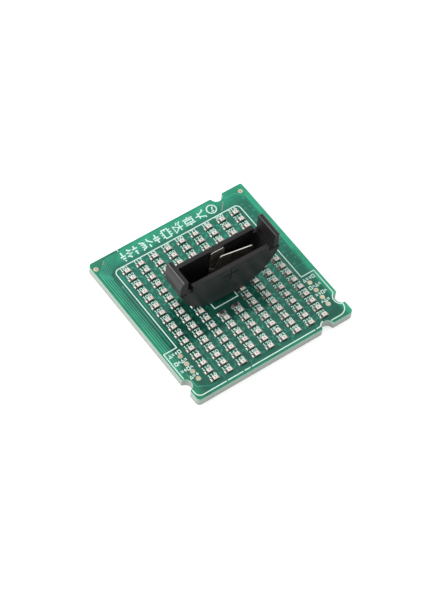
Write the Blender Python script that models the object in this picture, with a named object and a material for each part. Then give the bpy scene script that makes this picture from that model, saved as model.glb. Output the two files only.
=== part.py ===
"""Processor-socket tester card, modelled as an assembly of separate pieces.

A square two-millimetre circuit board carries columns of small chip lamps on its top and an upright
coin-cell holder in its middle. The underside is flat: it goes face down into a processor socket.
The holder's negative contact is a sprung leaf, on its own vertical axis, which a cell pushes back.

Frame: origin at the middle of the board's underside, +X along the edge that carries the title
symbols, +Y towards that edge, +Z up. Sizes below are in millimetres, and add_object
turns them into metres.
"""

import math

import bmesh
import bpy
from mathutils import Matrix

MM = 0.001
GAP = 0.05  # clearance between pieces that touch on the real object, whose lamps are 0.6 high

# Board
BOARD_SIDE = 37.5
BOARD_TOP = 2.0
CORNER_R = 0.8
TITLE_CORNER_R = 0.4
NOTCH_R = 1.33
NOTCH_EASE = 0.25
NOTCH_X = 12.45
NOTCH_Y = -14.6
TAIL_HOLE_R = 0.6

# Lamps: nine columns of sixteen, with none where the holder's foot and its footprint are
LAMP_COLUMNS = 9
LAMP_ROWS = 16
COLUMN_PITCH = 3.302
ROW_PITCH = 1.97
FIRST_ROW_Y = 13.2
ROWS_PER_BANK = 4
LAMP_LENGTH = 1.6
LAMP_WIDTH = 0.8
LAMP_BASE_HEIGHT = 0.25
LAMP_HEIGHT = 0.6
LENS_LENGTH = 1.1
LAMP_FOOT = BOARD_TOP + 0.02
RAIL_WIDTH = 0.3
RAIL_HEIGHT = 0.1

# Chip resistors, in the ninth row beside the holder's footprint
RESISTOR_COLUMNS = (3, 4)
RESISTOR_Y = -4.95
RESISTOR_LENGTH = 1.6
RESISTOR_WIDTH = 0.85
RESISTOR_HEIGHT = 0.45
RESISTOR_CAP = 0.35
RESISTOR_CAP_RISE = 0.04

# Coin-cell holder for a 20 mm cell, 3.2 thick, standing upright and soldered slightly askew
HOLDER_TURN = -0.8  # degrees about Z
HOLDER_PIVOT = (0.0, 0.6)
CELL_POCKET_R = 10.1
FLOOR_Z = 3.6
HOLDER_FRONT = -2.45
HOLDER_BACK = 3.5
WALL = 0.85
BELLY_R = 12.2
BELLY_Z = 14.2
BELLY_BOTTOM = 2.7
FOOT_HALF = 3.0
FOOT_INSET = 0.7
WALL_TOP = 12.3
WALL_HALF = 8.95
SLOT_BOTTOM = 10.7
POST_INNER = 10.2
POST_TOP = 15.0
POST_FRONT = -2.3
POST_BACK = 3.4
POST_CORNER_R = 0.7
END_X = 11.56
END_BULGE = (11.82, 12.2)
RIDGE = (11.35, 14.6)
RIDGE_TOP_X = 11.15
POST_REACH = 11.85
PLUS_Z = 10.0
PLUS_WIDTH = 3.7
PLUS_HEIGHT = 3.4
PLUS_STROKE = 0.35
PLUS_DEPTH = 0.15

# Contacts, pressed from 0.2 sheet
SHEET = 0.2
TAIL_X = -1.0
TAIL_WIDTH = 0.8
TAIL_END = 0.55
PLATE_LEFT = -1.5
PLATE_RIGHT = 1.9
PLATE_TOP = 11.8
PLATE_BOTTOM = 4.0
PLATE_CORNER = 0.4
POSITIVE_HALF = 2.6
POSITIVE_TOP = 9.5
LEAF_ROOT = (-1.5, 2.34)
LEAF_CORNER = (-0.8, 1.76)
LEAF_TIP = (7.4, 0.49)
LEAF_BEND_R = 0.5
LEAF_TOP = 10.7
LEAF_BOTTOM = 5.2
LEAF_STRAP_TOP = 7.0
LEAF_STRAP_X = -0.75
LEAF_EDGE_X = 0.0
LEAF_EDGE_R = 0.9
LEAF_EDGE_LEAN = 15  # degrees from upright
LEAF_TIP_TOP_R = 0.5
LEAF_TIP_BOTTOM_R = 3.6
SOLDER_R = 0.55
SOLDER_TOP = 0.5

COLOURS = {
    "solder_mask": ((0.02, 0.27, 0.15), 0.35, 0.0),
    "black_plastic": ((0.02, 0.02, 0.022), 0.45, 0.0),
    "lamp": ((0.78, 0.72, 0.68), 0.4, 0.0),
    "resistor": ((0.05, 0.04, 0.05), 0.5, 0.0),
    "contact": ((0.72, 0.70, 0.64), 0.3, 1.0),
    "solder": ((0.75, 0.75, 0.74), 0.35, 1.0),
}


def clear_scene():
    for obj in list(bpy.data.objects):
        bpy.data.objects.remove(obj)


def material(name):
    """The Principled material of that name, made once."""
    found = bpy.data.materials.get(name)
    if found:
        return found
    colour, roughness, metallic = COLOURS[name]
    made = bpy.data.materials.new(name)
    made.use_nodes = True
    shader = made.node_tree.nodes["Principled BSDF"]
    shader.inputs["Base Color"].default_value = (*colour, 1.0)
    shader.inputs["Roughness"].default_value = roughness
    shader.inputs["Metallic"].default_value = metallic
    made.diffuse_color = (*colour, 1.0)
    return made


def add_object(name, bm, look, origin=(0, 0, 0)):
    """An object from a bmesh in millimetres, with its origin at a point in millimetres."""
    bmesh.ops.translate(bm, verts=bm.verts, vec=[-c for c in origin])
    bmesh.ops.scale(bm, verts=bm.verts, vec=(MM, MM, MM))
    bmesh.ops.recalc_face_normals(bm, faces=bm.faces)
    data = bpy.data.meshes.new(name)
    bm.to_mesh(data)
    bm.free()
    if look:
        data.materials.append(material(look))
    obj = bpy.data.objects.new(name, data)
    obj.location = [c * MM for c in origin]
    bpy.context.scene.collection.objects.link(obj)
    return obj


def add_prism(bm, outline, low, high, along="Z"):
    """Adds a closed prism: the outline lies in XY and runs along Z, or in XZ and runs along Y."""
    def place(point, level):
        if along == "Z":
            return (point[0], point[1], level)
        return (point[0], level, point[1])

    bottom = bm.faces.new([bm.verts.new(place(p, low)) for p in outline])
    top = bmesh.ops.extrude_face_region(bm, geom=[bottom])["geom"]
    step = (0, 0, high - low) if along == "Z" else (0, high - low, 0)
    moved = [g for g in top if isinstance(g, bmesh.types.BMVert)]
    bmesh.ops.translate(bm, verts=moved, vec=step)


def add_box(bm, low, high):
    outline = [(low[0], low[1]), (high[0], low[1]), (high[0], high[1]), (low[0], high[1])]
    add_prism(bm, outline, low[2], high[2])


def prism(name, outline, low, high, along="Z", look=None, origin=(0, 0, 0)):
    bm = bmesh.new()
    add_prism(bm, outline, low, high, along)
    return add_object(name, bm, look, origin)


def boxes(name, corners, look=None):
    """One object of several boxes, each a pair of low and high corners."""
    bm = bmesh.new()
    for low, high in corners:
        add_box(bm, low, high)
    return add_object(name, bm, look)


def arc(centre, radius, start, end, steps):
    """Points on an arc, with its ends, from one angle to another in degrees."""
    turn = [math.radians(start + (end - start) * i / steps) for i in range(steps + 1)]
    return [(centre[0] + radius * math.cos(a), centre[1] + radius * math.sin(a)) for a in turn]


def arc_through(first, middle, last, steps):
    """Points on the arc through three points, with its ends."""
    (ax, ay), (bx, by), (cx, cy) = first, middle, last
    d = 2 * (ax * (by - cy) + bx * (cy - ay) + cx * (ay - by))
    a2, b2, c2 = ax * ax + ay * ay, bx * bx + by * by, cx * cx + cy * cy
    ox = (a2 * (by - cy) + b2 * (cy - ay) + c2 * (ay - by)) / d
    oy = (a2 * (cx - bx) + b2 * (ax - cx) + c2 * (bx - ax)) / d
    start = math.degrees(math.atan2(ay - oy, ax - ox))
    end = math.degrees(math.atan2(cy - oy, cx - ox))
    return arc((ox, oy), math.hypot(ax - ox, ay - oy), start, end, steps)


def combine(obj, cutter, operation):
    """Joins or cuts obj by a hidden guide object."""
    cutter.hide_render = True
    cutter.display_type = "WIRE"
    modifier = obj.modifiers.new(cutter.name, "BOOLEAN")
    modifier.operation = operation
    modifier.object = cutter
    modifier.solver = "EXACT"


def shade_round(obj):
    obj.data.shade_smooth()
    obj.data.set_sharp_from_angle(angle=math.radians(30))


# Board


def notch():
    """A key notch, as distance along an edge and depth: a round bay centred on the edge, with eased lips."""
    lip = math.sqrt((NOTCH_R + NOTCH_EASE) ** 2 - NOTCH_EASE ** 2)
    lean = math.degrees(math.atan2(NOTCH_EASE, lip))
    entry = arc((-lip, NOTCH_EASE), NOTCH_EASE, -90, -lean, 4)
    bay = arc((0, 0), NOTCH_R, 180 - lean, lean, 12)
    leave = arc((lip, NOTCH_EASE), NOTCH_EASE, 180 + lean, 270, 4)
    return entry + bay[1:-1] + leave


def board_outline():
    """Anticlockwise from the right edge's foot, with a notch in each edge."""
    half = BOARD_SIDE / 2
    sides = (
        (0, NOTCH_Y, TITLE_CORNER_R),
        (90, -NOTCH_X, CORNER_R),
        (180, -NOTCH_Y, CORNER_R),
        (270, NOTCH_X, CORNER_R),
    )
    points = []
    for turn, notch_at, corner in sides:
        angle = math.radians(turn)
        cos, sin = math.cos(angle), math.sin(angle)
        side = [(half - depth, notch_at + along) for along, depth in notch()]
        side += arc((half - corner, half - corner), corner, 0, 90, 5)
        points += [(x * cos - y * sin, x * sin + y * cos) for x, y in side]
    return points


def tail_places():
    """Where the negative and the positive contact's tails go down through the board."""
    return ((TAIL_X, negative_plate_y() + SHEET / 2), (TAIL_X, positive_plate_y() + SHEET / 2))


def make_board():
    return prism("circuit_board", board_outline(), 0, BOARD_TOP, look="solder_mask")


def make_tail_holes(board):
    for i, place in enumerate(tail_places()):
        hole = prism(f"tail_hole_{i + 1}", arc(place, TAIL_HOLE_R, 0, 345, 23), -1, BOARD_TOP + 1)
        combine(board, hole, "DIFFERENCE")


# Lamps and resistors


def column_x(column):
    return (column - (LAMP_COLUMNS - 1) / 2) * COLUMN_PITCH


def row_y(row):
    return FIRST_ROW_Y - row * ROW_PITCH


def has_lamp(column, row):
    """The three middle columns stop for the holder's foot and the two resistors beside it."""
    if column == 5:
        return row not in (5, 6, 7)
    if column in RESISTOR_COLUMNS:
        return row not in (5, 6, 7, 8, 9)
    return True


def lamp_outline(x):
    """A chip lamp seen along Y: a ceramic base with the clear lens block on it."""
    base, lens = LAMP_LENGTH / 2, LENS_LENGTH / 2
    shoulder, top = LAMP_FOOT + LAMP_BASE_HEIGHT, LAMP_FOOT + LAMP_HEIGHT
    right = [(base, LAMP_FOOT), (base, shoulder), (lens, shoulder), (lens, top)]
    left = [(-dx, z) for dx, z in reversed(right)]
    return [(x + dx, z) for dx, z in right + left]


def make_lamp_bank(column, first_row):
    """Up to four lamps of one column on their common solder rail."""
    rows = [r for r in range(first_row, first_row + ROWS_PER_BANK) if has_lamp(column, r)]
    if not rows:
        return
    x = column_x(column)
    name = f"lamp_bank_{column + 1}{'abcd'[first_row // ROWS_PER_BANK]}"
    bm = bmesh.new()
    for row in rows:
        y = row_y(row)
        add_prism(bm, lamp_outline(x), y - LAMP_WIDTH / 2, y + LAMP_WIDTH / 2, "Y")
    if len(rows) == 1:
        add_object(name, bm, "lamp")
        return
    lamps = add_object(name + "_lamps", bm, "lamp")
    low = (x - RAIL_WIDTH / 2, row_y(rows[-1]), LAMP_FOOT + 0.01)
    high = (x + RAIL_WIDTH / 2, row_y(rows[0]), LAMP_FOOT + RAIL_HEIGHT)
    bank = boxes(name, [(low, high)], "lamp")
    combine(bank, lamps, "UNION")


def make_resistor(number, column):
    x = column_x(column)
    body, cap = RESISTOR_LENGTH / 2, RESISTOR_LENGTH / 2 - RESISTOR_CAP
    top = LAMP_FOOT + RESISTOR_HEIGHT
    step = top - RESISTOR_CAP_RISE
    right = [(body, LAMP_FOOT), (body, top), (cap, top), (cap, step)]
    left = [(-dx, z) for dx, z in reversed(right)]
    outline = [(x + dx, z) for dx, z in right + left]
    low, high = RESISTOR_Y - RESISTOR_WIDTH / 2, RESISTOR_Y + RESISTOR_WIDTH / 2
    prism(f"resistor_{number}", outline, low, high, "Y", "resistor")


# Coin-cell holder


def holder_outline():
    """Seen from the front: belly arc, bulged ends, sloped post tops, slots and the walls' top."""
    start = -math.degrees(math.acos((BELLY_Z - BELLY_BOTTOM) / BELLY_R))
    end = -math.degrees(math.asin(END_X / BELLY_R))
    belly = arc((0, BELLY_Z), BELLY_R, -90 - start, -90 - end, 14)
    side = arc_through(belly[-1], END_BULGE, RIDGE, 8)
    right = belly + side[1:]
    right += [(RIDGE_TOP_X, POST_TOP), (POST_INNER, POST_TOP), (POST_INNER, SLOT_BOTTOM)]
    right += [(WALL_HALF, SLOT_BOTTOM), (WALL_HALF, WALL_TOP)]
    return right + [(-x, z) for x, z in reversed(right)]


def post_corners():
    """Guides that set the posts back from the walls' faces and round their outer corners."""
    radius, beyond = POST_CORNER_R, 1.0
    round_front = arc((POST_REACH - radius, POST_FRONT + radius), radius, 0, -90, 5)
    round_back = arc((POST_REACH - radius, POST_BACK - radius), radius, 0, 90, 5)
    bm = bmesh.new()
    for bend, face in ((round_front, HOLDER_FRONT - beyond), (round_back, HOLDER_BACK + beyond)):
        corner = [(POST_REACH + beyond, face), (POST_REACH + beyond, bend[0][1])] + bend
        corner += [(WALL_HALF + GAP, bend[-1][1]), (WALL_HALF + GAP, face)]
        for side in (1, -1):
            add_prism(bm, [(side * x, y) for x, y in corner], SLOT_BOTTOM, POST_TOP + beyond)
    return add_object("post_corners", bm, None)


def plus_mark():
    """The polarity mark sunk in the front wall."""
    inner = HOLDER_FRONT + PLUS_DEPTH
    half_w, half_h, half_s = PLUS_WIDTH / 2, PLUS_HEIGHT / 2, PLUS_STROKE / 2
    outline = [
        (half_s, -half_h), (half_s, -half_s), (half_w, -half_s), (half_w, half_s),
        (half_s, half_s), (half_s, half_h), (-half_s, half_h), (-half_s, half_s),
        (-half_w, half_s), (-half_w, -half_s), (-half_s, -half_s), (-half_s, -half_h),
    ]
    outline = [(x, PLUS_Z + z) for x, z in outline]
    return prism("plus_mark", outline, HOLDER_FRONT - 1, inner, "Y")


def make_holder():
    holder = prism("battery_holder", holder_outline(), HOLDER_FRONT, HOLDER_BACK, "Y", "black_plastic")
    combine(holder, post_corners(), "DIFFERENCE")
    pocket = arc((0, FLOOR_Z + CELL_POCKET_R), CELL_POCKET_R, 0, 352.5, 47)
    inside = (HOLDER_FRONT + WALL, HOLDER_BACK - WALL)
    combine(holder, prism("cell_pocket", pocket, *inside, "Y"), "DIFFERENCE")
    foot_low = (-FOOT_HALF, HOLDER_FRONT + FOOT_INSET, BOARD_TOP + GAP)
    foot_high = (FOOT_HALF, HOLDER_BACK - FOOT_INSET, BELLY_BOTTOM + 0.3)
    combine(holder, boxes("holder_foot", [(foot_low, foot_high)]), "UNION")
    half = TAIL_WIDTH / 2 + GAP
    slots = []
    for _, y in tail_places():
        reach = SHEET / 2 + GAP
        slots.append(((TAIL_X - half, y - reach, 0), (TAIL_X + half, y + reach, FLOOR_Z + 0.3)))
    combine(holder, boxes("tail_slots", slots), "DIFFERENCE")
    combine(holder, plus_mark(), "DIFFERENCE")
    shade_round(holder)


# Contacts


def negative_plate_y():
    """The plate's near face: it lies against the back wall."""
    return HOLDER_BACK - WALL - GAP - SHEET


def positive_plate_y():
    """The plate's near face: it lies against the front wall."""
    return HOLDER_FRONT + WALL + GAP


def plate_outline(left, right, bottom, top):
    """A plate with clipped top corners and a narrow tail down through the floor."""
    tail = TAIL_WIDTH / 2
    clip = PLATE_CORNER
    return [
        (TAIL_X - tail, TAIL_END), (TAIL_X + tail, TAIL_END), (TAIL_X + tail, bottom),
        (right, bottom), (right, top - clip), (right - clip, top),
        (left + clip, top), (left, top - clip), (left, bottom), (TAIL_X - tail, bottom),
    ]


def make_plates():
    negative = plate_outline(PLATE_LEFT, PLATE_RIGHT, PLATE_BOTTOM, PLATE_TOP)
    near = negative_plate_y()
    prism("negative_contact_plate", negative, near, near + SHEET, "Y", "contact")
    positive = plate_outline(-POSITIVE_HALF, POSITIVE_HALF, PLATE_BOTTOM, POSITIVE_TOP)
    near = positive_plate_y()
    prism("positive_contact_plate", positive, near, near + SHEET, "Y", "contact")


def leaf_path():
    """The leaf's middle line from above: root, a rounded bend, then straight to the free end."""
    root, corner, tip = LEAF_ROOT, LEAF_CORNER, LEAF_TIP
    into = math.atan2(corner[1] - root[1], corner[0] - root[0])
    out = math.atan2(tip[1] - corner[1], tip[0] - corner[0])
    setback = LEAF_BEND_R * math.tan((out - into) / 2)
    start = (corner[0] - setback * math.cos(into), corner[1] - setback * math.sin(into))
    centre = (start[0] - LEAF_BEND_R * math.sin(into), start[1] + LEAF_BEND_R * math.cos(into))
    bend = arc(centre, LEAF_BEND_R, math.degrees(into) - 90, math.degrees(out) - 90, 5)
    return [root] + bend + [tip], into, out


def leaf_plan():
    """The middle line thickened to the sheet's two faces."""
    path, into, out = leaf_path()
    directions = [into] + [into + (out - into) * i / (len(path) - 3) for i in range(len(path) - 2)] + [out]
    half = SHEET / 2
    near = [(x + half * math.sin(a), y - half * math.cos(a)) for (x, y), a in zip(path, directions)]
    far = [(x - half * math.sin(a), y + half * math.cos(a)) for (x, y), a in zip(path, directions)]
    return near + far[::-1]


def leaf_profile():
    """The leaf seen from the front: a low strap at its root, a tall blade, and a rounded tip."""
    left, right = LEAF_ROOT[0] - 1, LEAF_TIP[0] + SHEET / 2
    points = [(left, LEAF_BOTTOM)]
    low = LEAF_TIP_BOTTOM_R
    points += arc((right - low, LEAF_BOTTOM + low), low, -90, 0, 8)
    high = LEAF_TIP_TOP_R
    points += arc((right - high, LEAF_TOP - high), high, 0, 90, 4)
    edge = LEAF_EDGE_R
    points += arc((LEAF_EDGE_X + edge, LEAF_TOP - edge), edge, 90, 180 - LEAF_EDGE_LEAN, 5)
    return points + [(LEAF_STRAP_X, LEAF_STRAP_TOP), (left, LEAF_STRAP_TOP)]


def make_leaf():
    """The sprung leaf, with its origin on the vertical axis that it turns about."""
    axis = (*LEAF_ROOT, LEAF_BOTTOM)
    leaf = prism("negative_contact_leaf", leaf_plan(), 0, POST_TOP, look="contact", origin=axis)
    profile = prism("leaf_profile", leaf_profile(), HOLDER_FRONT, HOLDER_BACK, "Y")
    combine(leaf, profile, "INTERSECT")


def make_solder_joints():
    for name, place in zip(("negative_solder_joint", "positive_solder_joint"), tail_places()):
        joint = prism(name, arc(place, SOLDER_R, 0, 345, 23), 0, SOLDER_TOP, look="solder")
        shade_round(joint)


def turn_with_holder(objects):
    """Parents the holder and all that turns with it to one empty, which stands askew on the board."""
    x, y = (c * MM for c in HOLDER_PIVOT)
    frame = bpy.data.objects.new("holder_frame", None)
    bpy.context.scene.collection.objects.link(frame)
    frame.location = (x, y, 0)
    frame.rotation_euler.z = math.radians(HOLDER_TURN)
    for obj in objects:
        obj.parent = frame
        obj.matrix_parent_inverse = Matrix.Translation((-x, -y, 0))


def main():
    clear_scene()
    board = make_board()
    for column in range(LAMP_COLUMNS):
        for first_row in range(0, LAMP_ROWS, ROWS_PER_BANK):
            make_lamp_bank(column, first_row)
    for number, column in enumerate(RESISTOR_COLUMNS, 1):
        make_resistor(number, column)
    square = set(bpy.data.objects)
    make_tail_holes(board)
    make_holder()
    make_plates()
    make_leaf()
    make_solder_joints()
    turn_with_holder(set(bpy.data.objects) - square)


main()
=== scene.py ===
"""Looks of the processor-socket tester card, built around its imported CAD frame.

Every mesh is built in millimetres of the part's own frame and scaled to metres at the end: +X runs along the
title edge, +Y towards it, +Z up, and the origin is under the middle of the board.
"""

import math
import random

import bmesh
import bpy
from mathutils import Matrix, Vector


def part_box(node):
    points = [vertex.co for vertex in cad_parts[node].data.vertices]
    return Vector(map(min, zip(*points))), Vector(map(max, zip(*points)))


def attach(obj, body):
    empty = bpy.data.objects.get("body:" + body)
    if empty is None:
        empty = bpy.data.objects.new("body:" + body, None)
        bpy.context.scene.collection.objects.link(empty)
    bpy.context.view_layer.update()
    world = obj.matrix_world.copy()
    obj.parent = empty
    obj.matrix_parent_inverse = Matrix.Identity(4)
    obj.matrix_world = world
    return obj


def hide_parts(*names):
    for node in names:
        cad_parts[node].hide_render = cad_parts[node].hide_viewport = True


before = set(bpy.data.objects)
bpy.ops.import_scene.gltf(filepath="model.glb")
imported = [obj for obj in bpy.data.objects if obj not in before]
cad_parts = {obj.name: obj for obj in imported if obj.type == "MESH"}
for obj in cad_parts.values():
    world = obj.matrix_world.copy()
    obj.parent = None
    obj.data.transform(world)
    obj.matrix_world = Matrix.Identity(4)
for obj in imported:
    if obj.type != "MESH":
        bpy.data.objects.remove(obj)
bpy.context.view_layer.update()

MM = 0.001
CARD = "tester_card"
LEAF = "contact_leaf"

# Camera, light and floor
CAMERA_AIM = (-2.136, -0.346, 0.0)
CAMERA_AZIMUTH = -41.93
CAMERA_ELEVATION = 55.62
CAMERA_ROLL = 7.30
CAMERA_DISTANCE = 433.36
CAMERA_LENS = 132.11
KEY_AZIMUTH = -117
KEY_ELEVATION = 27
KEY_DISTANCE = 450
KEY_SIZE = 140
KEY_POWER = 1.3
SKY_STRENGTH = 0.9
FLOOR_HALF = 900.0
FLOOR_LOW = -5.0
FLOOR_HIGH = -0.02
FLOOR_GREY = 0.93
FLOOR_GLOW = 0.35

# Board layers. Each sinks a little into the one below, and strokes that cross differ by LAYER_STEP
WELD = 0.001
EDGE_EASE = 0.05
MASK_THICK = 0.03
MASK_INSET = 0.03
LAND_THICK = 0.03
COPPER_RISE = 0.022
PRINT_RISE = 0.03
LAYER_SINK = 0.005
LAYER_STEP = 0.0012

# Print
FRAME_STROKE = 0.22
LABEL_STROKE = 0.15
FRAME_LEFT = -15.3
FRAME_RIGHT = 15.0
FRAME_TOP = 14.66
FRAME_STEP = -6.62
OUTER_LEFT = -18.34
OUTER_RIGHT = 18.08
OUTER_BOTTOM = -18.05
FRAME_BEND = 1.0
LEFT_FOOT_BEND = 1.2
RIGHT_FOOT_BEND = 2.05
FRAME_BREAKS = (-11.65, -11.35, -7.65, -7.35, -5.95, -5.65)
HOLDER_OUTLINE = ((-3.8, -1.9), (-3.8, -3.34), (1.8, -3.34), (1.8, -1.9))
TICK_STROKE = 0.2
PRINTED_TICK_X = -11.9
TINNED_TICKS = (((-16.4, 17.05), (-15.5, 17.95)), ((11.3, 15.1), (12.95, 16.85)))
LABEL_UP = 0.92
LABEL_HEIGHT = 0.8
DIGIT_WIDTH = 0.5
DIGIT_GAP = 0.17
FIRST_NUMBER = 101
TITLE_FOOT = 15.5
TITLE_HEIGHT = 2.2

# Key notches, one in each edge: the X of the front and rear ones, the Y of the side ones, their radius
NOTCH_ALONG = 12.45
NOTCH_DOWN = -14.6
NOTCH_R = 1.33

# Gold pads, and the printed marks beside them
PAD_R = 0.45
PAD_RISE = 0.035
PAD_EASE = 0.012
PAD_SIDES = 28
PAD_CLEARANCE = 0.1
BARE_RISE = 0.006
LEFT_PADS_X = -15.83
RIGHT_PADS_X = 15.62
PADS_Y = (-8.6, -10.7, -12.7, -14.6)
CORNER_PADS = ((-17.97, 17.03), (17.42, 17.1))
CORNER_DOT_R = 0.17
LEFT_MARKS_X = LEFT_PADS_X - 2.0
RIGHT_MARKS_X = RIGHT_PADS_X - 0.9
PAD_MARKS = 4
PAD_MARK_PITCH = 0.72
PAD_MARK_UP = 0.62
PAD_MARK_SIZE = (0.52, 0.7)
PAD_MARK_STROKE = 0.17

# Copper under the mask
TRACE = 0.16
VIA_R = 0.27
VIA_HOLE_R = 0.12
VIA_SIDES = 14
LONE_VIA = (-15.95, 10.65)
VIA_COLUMNS = (15.75, 16.85, 17.95)
VIA_ROWS = 17
VIA_TOP = 15.3
VIA_PITCH = 1.16
ESCAPE_START = 0.95
ESCAPE_JOG = 0.3
HOLDER_HIDES_X = 4.2
HOLDER_HIDES_Y = 0.6

# Bundle of traces, from the outermost inwards: its places at the border, at the bend and by the title
BUNDLE = 8
BUNDLE_TRACE = 0.12
BUNDLE_LEFT = -18.08
BUNDLE_PITCH = 0.235
BUNDLE_FOOT = -12.2
BUNDLE_FOOT_STEP = 0.35
BUNDLE_BEND = 15.6
BUNDLE_BEND_STEP = 0.19
BUNDLE_SHORT = 1.2
BUNDLE_TOP = 18.05
BUNDLE_TOP_PITCH = 0.33
BUNDLE_SLANT = 2.9
BUNDLE_SLANT_STEP = 0.1
BUNDLE_END = 10.2
BUNDLE_END_STEP = 0.3

# Lamps
LAMP_LENGTH = 1.6
LAMP_WIDTH = 0.8
ROW_PITCH = 1.97
BASE_HEIGHT = 0.22
BITE_R = 0.16
LENS_LEFT = -0.4
LENS_RIGHT = 0.64
LENS_CHAMFER = 0.06
DIE_X = 0.06
SOLDER_START = 0.74
SOLDER_REACH = 1.03
SOLDER_HALF = 0.36
FILLET = ((0.0, 1.0), (0.25, 0.55), (0.6, 0.2), (1.0, 0.05))

# Chip resistors
CAP_LENGTH = 0.32
COAT_SLOPE = 0.06

# Lands of the underside: a full grid less its middle, three corners and the places by the key notches
LAND_COLUMNS = 30
LAND_ROWS = 33
LAND_PITCH_X = 1.17
LAND_PITCH_Y = 1.09
LAND_GAP_COLUMNS = 14
LAND_GAP_ROWS = 15
LAND_LENGTH = 0.85
LAND_WIDTH = 0.62
LAND_CLEARANCE = 2.3

# Holder and contacts
POST_TIP = 0.3
POST_EASE = 0.26
HOLDER_EASE = 0.13
SHEET_EASE = 0.025
DOT_EASE = 0.06


def in_mm(corner):
    return [c / MM for c in corner]


BOARD_HIGH = in_mm(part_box("circuit_board")[1])
TOP = BOARD_HIGH[2]
HALF = BOARD_HIGH[0]


# Materials


class Surface:
    """A Principled material, with short calls for the nodes that drive it. Lengths are in millimetres."""

    def __init__(self, name, roughness, metallic=0.0, **values):
        self.material = bpy.data.materials.new(name)
        self.material.use_nodes = True
        self.tree = self.material.node_tree
        self.shader = self.tree.nodes["Principled BSDF"]
        self.shader.inputs["Roughness"].default_value = roughness
        self.shader.inputs["Metallic"].default_value = metallic
        for key, value in values.items():
            self.shader.inputs[key.replace("_", " ")].default_value = value
        coordinates = self.tree.nodes.new("ShaderNodeTexCoord")
        self.place = self.scaled(coordinates.outputs["Object"], (1 / MM,) * 3)

    def put(self, socket, value):
        """Links a node's output to the socket, or sets the socket's own value."""
        if isinstance(value, bpy.types.NodeSocket):
            self.tree.links.new(value, socket)
        elif isinstance(value, tuple) and len(value) == 3 and socket.type == "RGBA":
            socket.default_value = (*value, 1.0)
        else:
            socket.default_value = value

    def scaled(self, vector, scale):
        node = self.tree.nodes.new("ShaderNodeVectorMath")
        node.operation = "MULTIPLY"
        self.put(node.inputs[0], vector)
        node.inputs[1].default_value = scale
        return node.outputs[0]

    def noise(self, size, detail, stretch=(1, 1, 1)):
        """Cloudy noise from 0 to 1, whose patches are about that many millimetres across."""
        node = self.tree.nodes.new("ShaderNodeTexNoise")
        self.put(node.inputs["Vector"], self.scaled(self.place, tuple(s / size for s in stretch)))
        node.inputs["Scale"].default_value = 1.0
        node.inputs["Detail"].default_value = detail
        node.inputs["Roughness"].default_value = 0.55
        return node.outputs["Fac"]

    def math(self, operation, first, second):
        node = self.tree.nodes.new("ShaderNodeMath")
        node.operation = operation
        self.put(node.inputs[0], first)
        self.put(node.inputs[1], second)
        return node.outputs[0]

    def axis(self, which):
        """The X, Y or Z place on the object."""
        node = self.tree.nodes.new("ShaderNodeSeparateXYZ")
        self.put(node.inputs[0], self.place)
        return node.outputs["XYZ".index(which)]

    def ramp(self, factor, *stops):
        """A colour from (place, colour) stops."""
        node = self.tree.nodes.new("ShaderNodeValToRGB")
        self.put(node.inputs[0], factor)
        bar = node.color_ramp.elements
        while len(bar) < len(stops):
            bar.new(0.5)
        for element, (place, colour) in zip(bar, stops):
            element.position = place
            element.color = (*colour, 1.0)
        return node.outputs[0]

    def spread(self, factor, low, high, to_low=0.0, to_high=1.0):
        """A smooth step from to_low at low to to_high at high."""
        node = self.tree.nodes.new("ShaderNodeMapRange")
        node.interpolation_type = "SMOOTHSTEP"
        for socket, value in zip(node.inputs, (factor, low, high, to_low, to_high)):
            self.put(socket, value)
        return node.outputs[0]

    def mix(self, factor, first, second, blend="MIX"):
        node = self.tree.nodes.new("ShaderNodeMix")
        node.data_type = "RGBA"
        node.blend_type = blend
        self.put(node.inputs["Factor"], factor)
        self.put(node.inputs[6], first)
        self.put(node.inputs[7], second)
        return node.outputs[2]

    def shaded(self, colour, factor, *stops):
        """A colour multiplied by a grey from (place, grey) stops."""
        grey = self.ramp(factor, *((place, (level,) * 3) for place, level in stops))
        return self.mix(1.0, colour, grey, "MULTIPLY")

    def colour(self, value):
        self.put(self.shader.inputs["Base Color"], value)
        return self

    def rough(self, factor, low, high):
        """Roughness from low to high, as the factor rises through its middle."""
        self.put(self.shader.inputs["Roughness"], self.spread(factor, 0.25, 0.75, low, high))
        return self

    def bump(self, height, depth, strength=1.0):
        """Relief that is that many millimetres deep for a height of 1."""
        node = self.tree.nodes.new("ShaderNodeBump")
        node.inputs["Distance"].default_value = depth * MM
        node.inputs["Strength"].default_value = strength
        self.put(node.inputs["Height"], height)
        self.put(self.shader.inputs["Normal"], node.outputs[0])
        return self


def border_share(surface):
    """0 over the board's middle, which is painted in shade, and 1 along its brighter border, fainter by the
    title edge and faintest in front.
    """
    x, y = surface.axis("X"), surface.axis("Y")
    share = surface.spread(x, HALF - 1.9, HALF - 0.6)
    for edge in (
        surface.spread(x, 3.2 - HALF, 0.2 - HALF),
        surface.spread(y, HALF - 4.4, HALF - 0.6, 0.0, 0.78),
        surface.spread(y, 1.5 - HALF, -HALF, 0.0, 0.4),
    ):
        share = surface.math("MAXIMUM", share, edge)
    return share


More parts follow.
